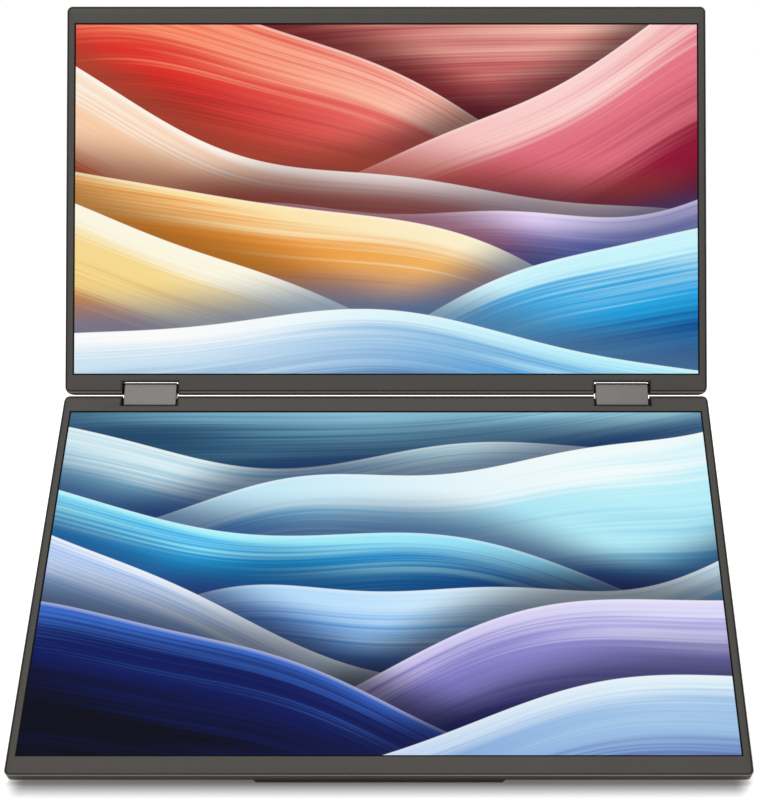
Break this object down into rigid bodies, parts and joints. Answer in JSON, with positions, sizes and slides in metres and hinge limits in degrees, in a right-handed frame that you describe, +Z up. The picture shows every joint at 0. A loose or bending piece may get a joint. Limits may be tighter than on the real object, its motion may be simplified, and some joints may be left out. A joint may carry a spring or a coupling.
{
  "type": "dual portable monitor",
  "caption": "Thin paired screens joined along their long edges by two-axis friction hinges that fold face to face or back to back, with a kickstand behind the lower screen.",
  "frame": {"origin": "middle of the front foot strip's sole, on the desk", "axes": "+X to the viewer's right along the hinge line, +Y away from the viewer, +Z up"},
  "size_m": [0.3543, 0.2014, 0.371],
  "materials": {
    "case_shell": "dark warm grey, fine matt texture",
    "bezel_plastic": "dark warm grey, fine moulded texture",
    "screen_glass": "anti-glare lit screen with a black edge",
    "backlight_film": "milky acrylic",
    "tray_sheet": "plain pressed sheet",
    "board_laminate": "green solder mask",
    "hinge_shell": "grey satin anodised",
    "hinge_steel": "ground steel",
    "spring_steel": "oiled spring steel",
    "socket_steel": "tinned steel shell",
    "button_plastic": "dark satin",
    "foot_rubber": "black matt rubber",
    "stand_metal": "dark grey satin anodised",
    "speaker_plastic": "black moulded"
  },
  "bodies": {
    "lower_display": {"lower_rear_cover": "case_shell", "lower_bezel": "bezel_plastic", "lower_lcd_panel": "screen_glass", "lower_backlight": "backlight_film", "lower_panel_tray": "tray_sheet", "lower_leaf_screws": "hinge_steel", "lower_shaft_left": "hinge_steel", "lower_shaft_right": "hinge_steel", "lower_leaf_left": "hinge_steel", "lower_leaf_right": "hinge_steel", "main_board": "board_laminate", "button_board": "board_laminate", "usb_c_port_1": "socket_steel", "usb_c_port_2": "socket_steel", "mini_hdmi_port": "socket_steel", "speaker_left": "speaker_plastic", "speaker_right": "speaker_plastic", "front_foot": "foot_rubber", "back_pads": "foot_rubber", "stand_bracket_left": "hinge_steel", "stand_bracket_right": "hinge_steel", "bracket_screws": "hinge_steel"},
    "hinge_links": {"hinge_housing_left": "hinge_shell", "hinge_housing_right": "hinge_shell", "hinge_end_cap_left": "hinge_shell", "hinge_end_cap_right": "hinge_shell", "friction_clips_left": "spring_steel", "friction_clips_right": "spring_steel"},
    "upper_display": {"upper_rear_cover": "case_shell", "upper_bezel": "bezel_plastic", "upper_lcd_panel": "screen_glass", "upper_backlight": "backlight_film", "upper_panel_tray": "tray_sheet", "upper_leaf_screws": "hinge_steel", "upper_shaft_left": "hinge_steel", "upper_shaft_right": "hinge_steel", "upper_leaf_left": "hinge_steel", "upper_leaf_right": "hinge_steel", "timing_board": "board_laminate"},
    "kickstand": {"stand_plate": "stand_metal", "stand_foot": "foot_rubber", "stand_pin_left": "hinge_steel", "stand_pin_right": "hinge_steel"},
    "power_button": {"power_button": "button_plastic"},
    "menu_up_button": {"menu_up_button": "button_plastic"},
    "menu_down_button": {"menu_down_button": "button_plastic"}
  },
  "joints": [
    {"name": "hinge_lower", "type": "hinge", "parent": "lower_display", "child": "hinge_links", "pos_m": [0, 0.14433, 0.15539], "axis": [-1, 0, 0], "range_deg": [-74, 105]},
    {"name": "hinge_upper", "type": "hinge", "parent": "hinge_links", "child": "upper_display", "pos_m": [0, 0.14837, 0.16299], "axis": [-1, 0, 0], "range_deg": [-74, 105]},
    {"name": "kickstand_fold", "type": "hinge", "parent": "lower_display", "child": "kickstand", "pos_m": [0, 0.10325, 0.10868], "axis": [-1, 0, 0], "range_deg": [0, 83.66]},
    {"name": "power_button_press", "type": "slide", "parent": "lower_display", "child": "power_button", "axis": [1, 0, 0], "range_m": [0, 0.00035], "stiffness_N_per_m": 600, "springref_m": -0.001},
    {"name": "menu_up_button_press", "type": "slide", "parent": "lower_display", "child": "menu_up_button", "axis": [1, 0, 0], "range_m": [0, 0.00035], "stiffness_N_per_m": 600, "springref_m": -0.001},
    {"name": "menu_down_button_press", "type": "slide", "parent": "lower_display", "child": "menu_down_button", "axis": [1, 0, 0], "range_m": [0, 0.00035], "stiffness_N_per_m": 600, "springref_m": -0.001}
  ]
}
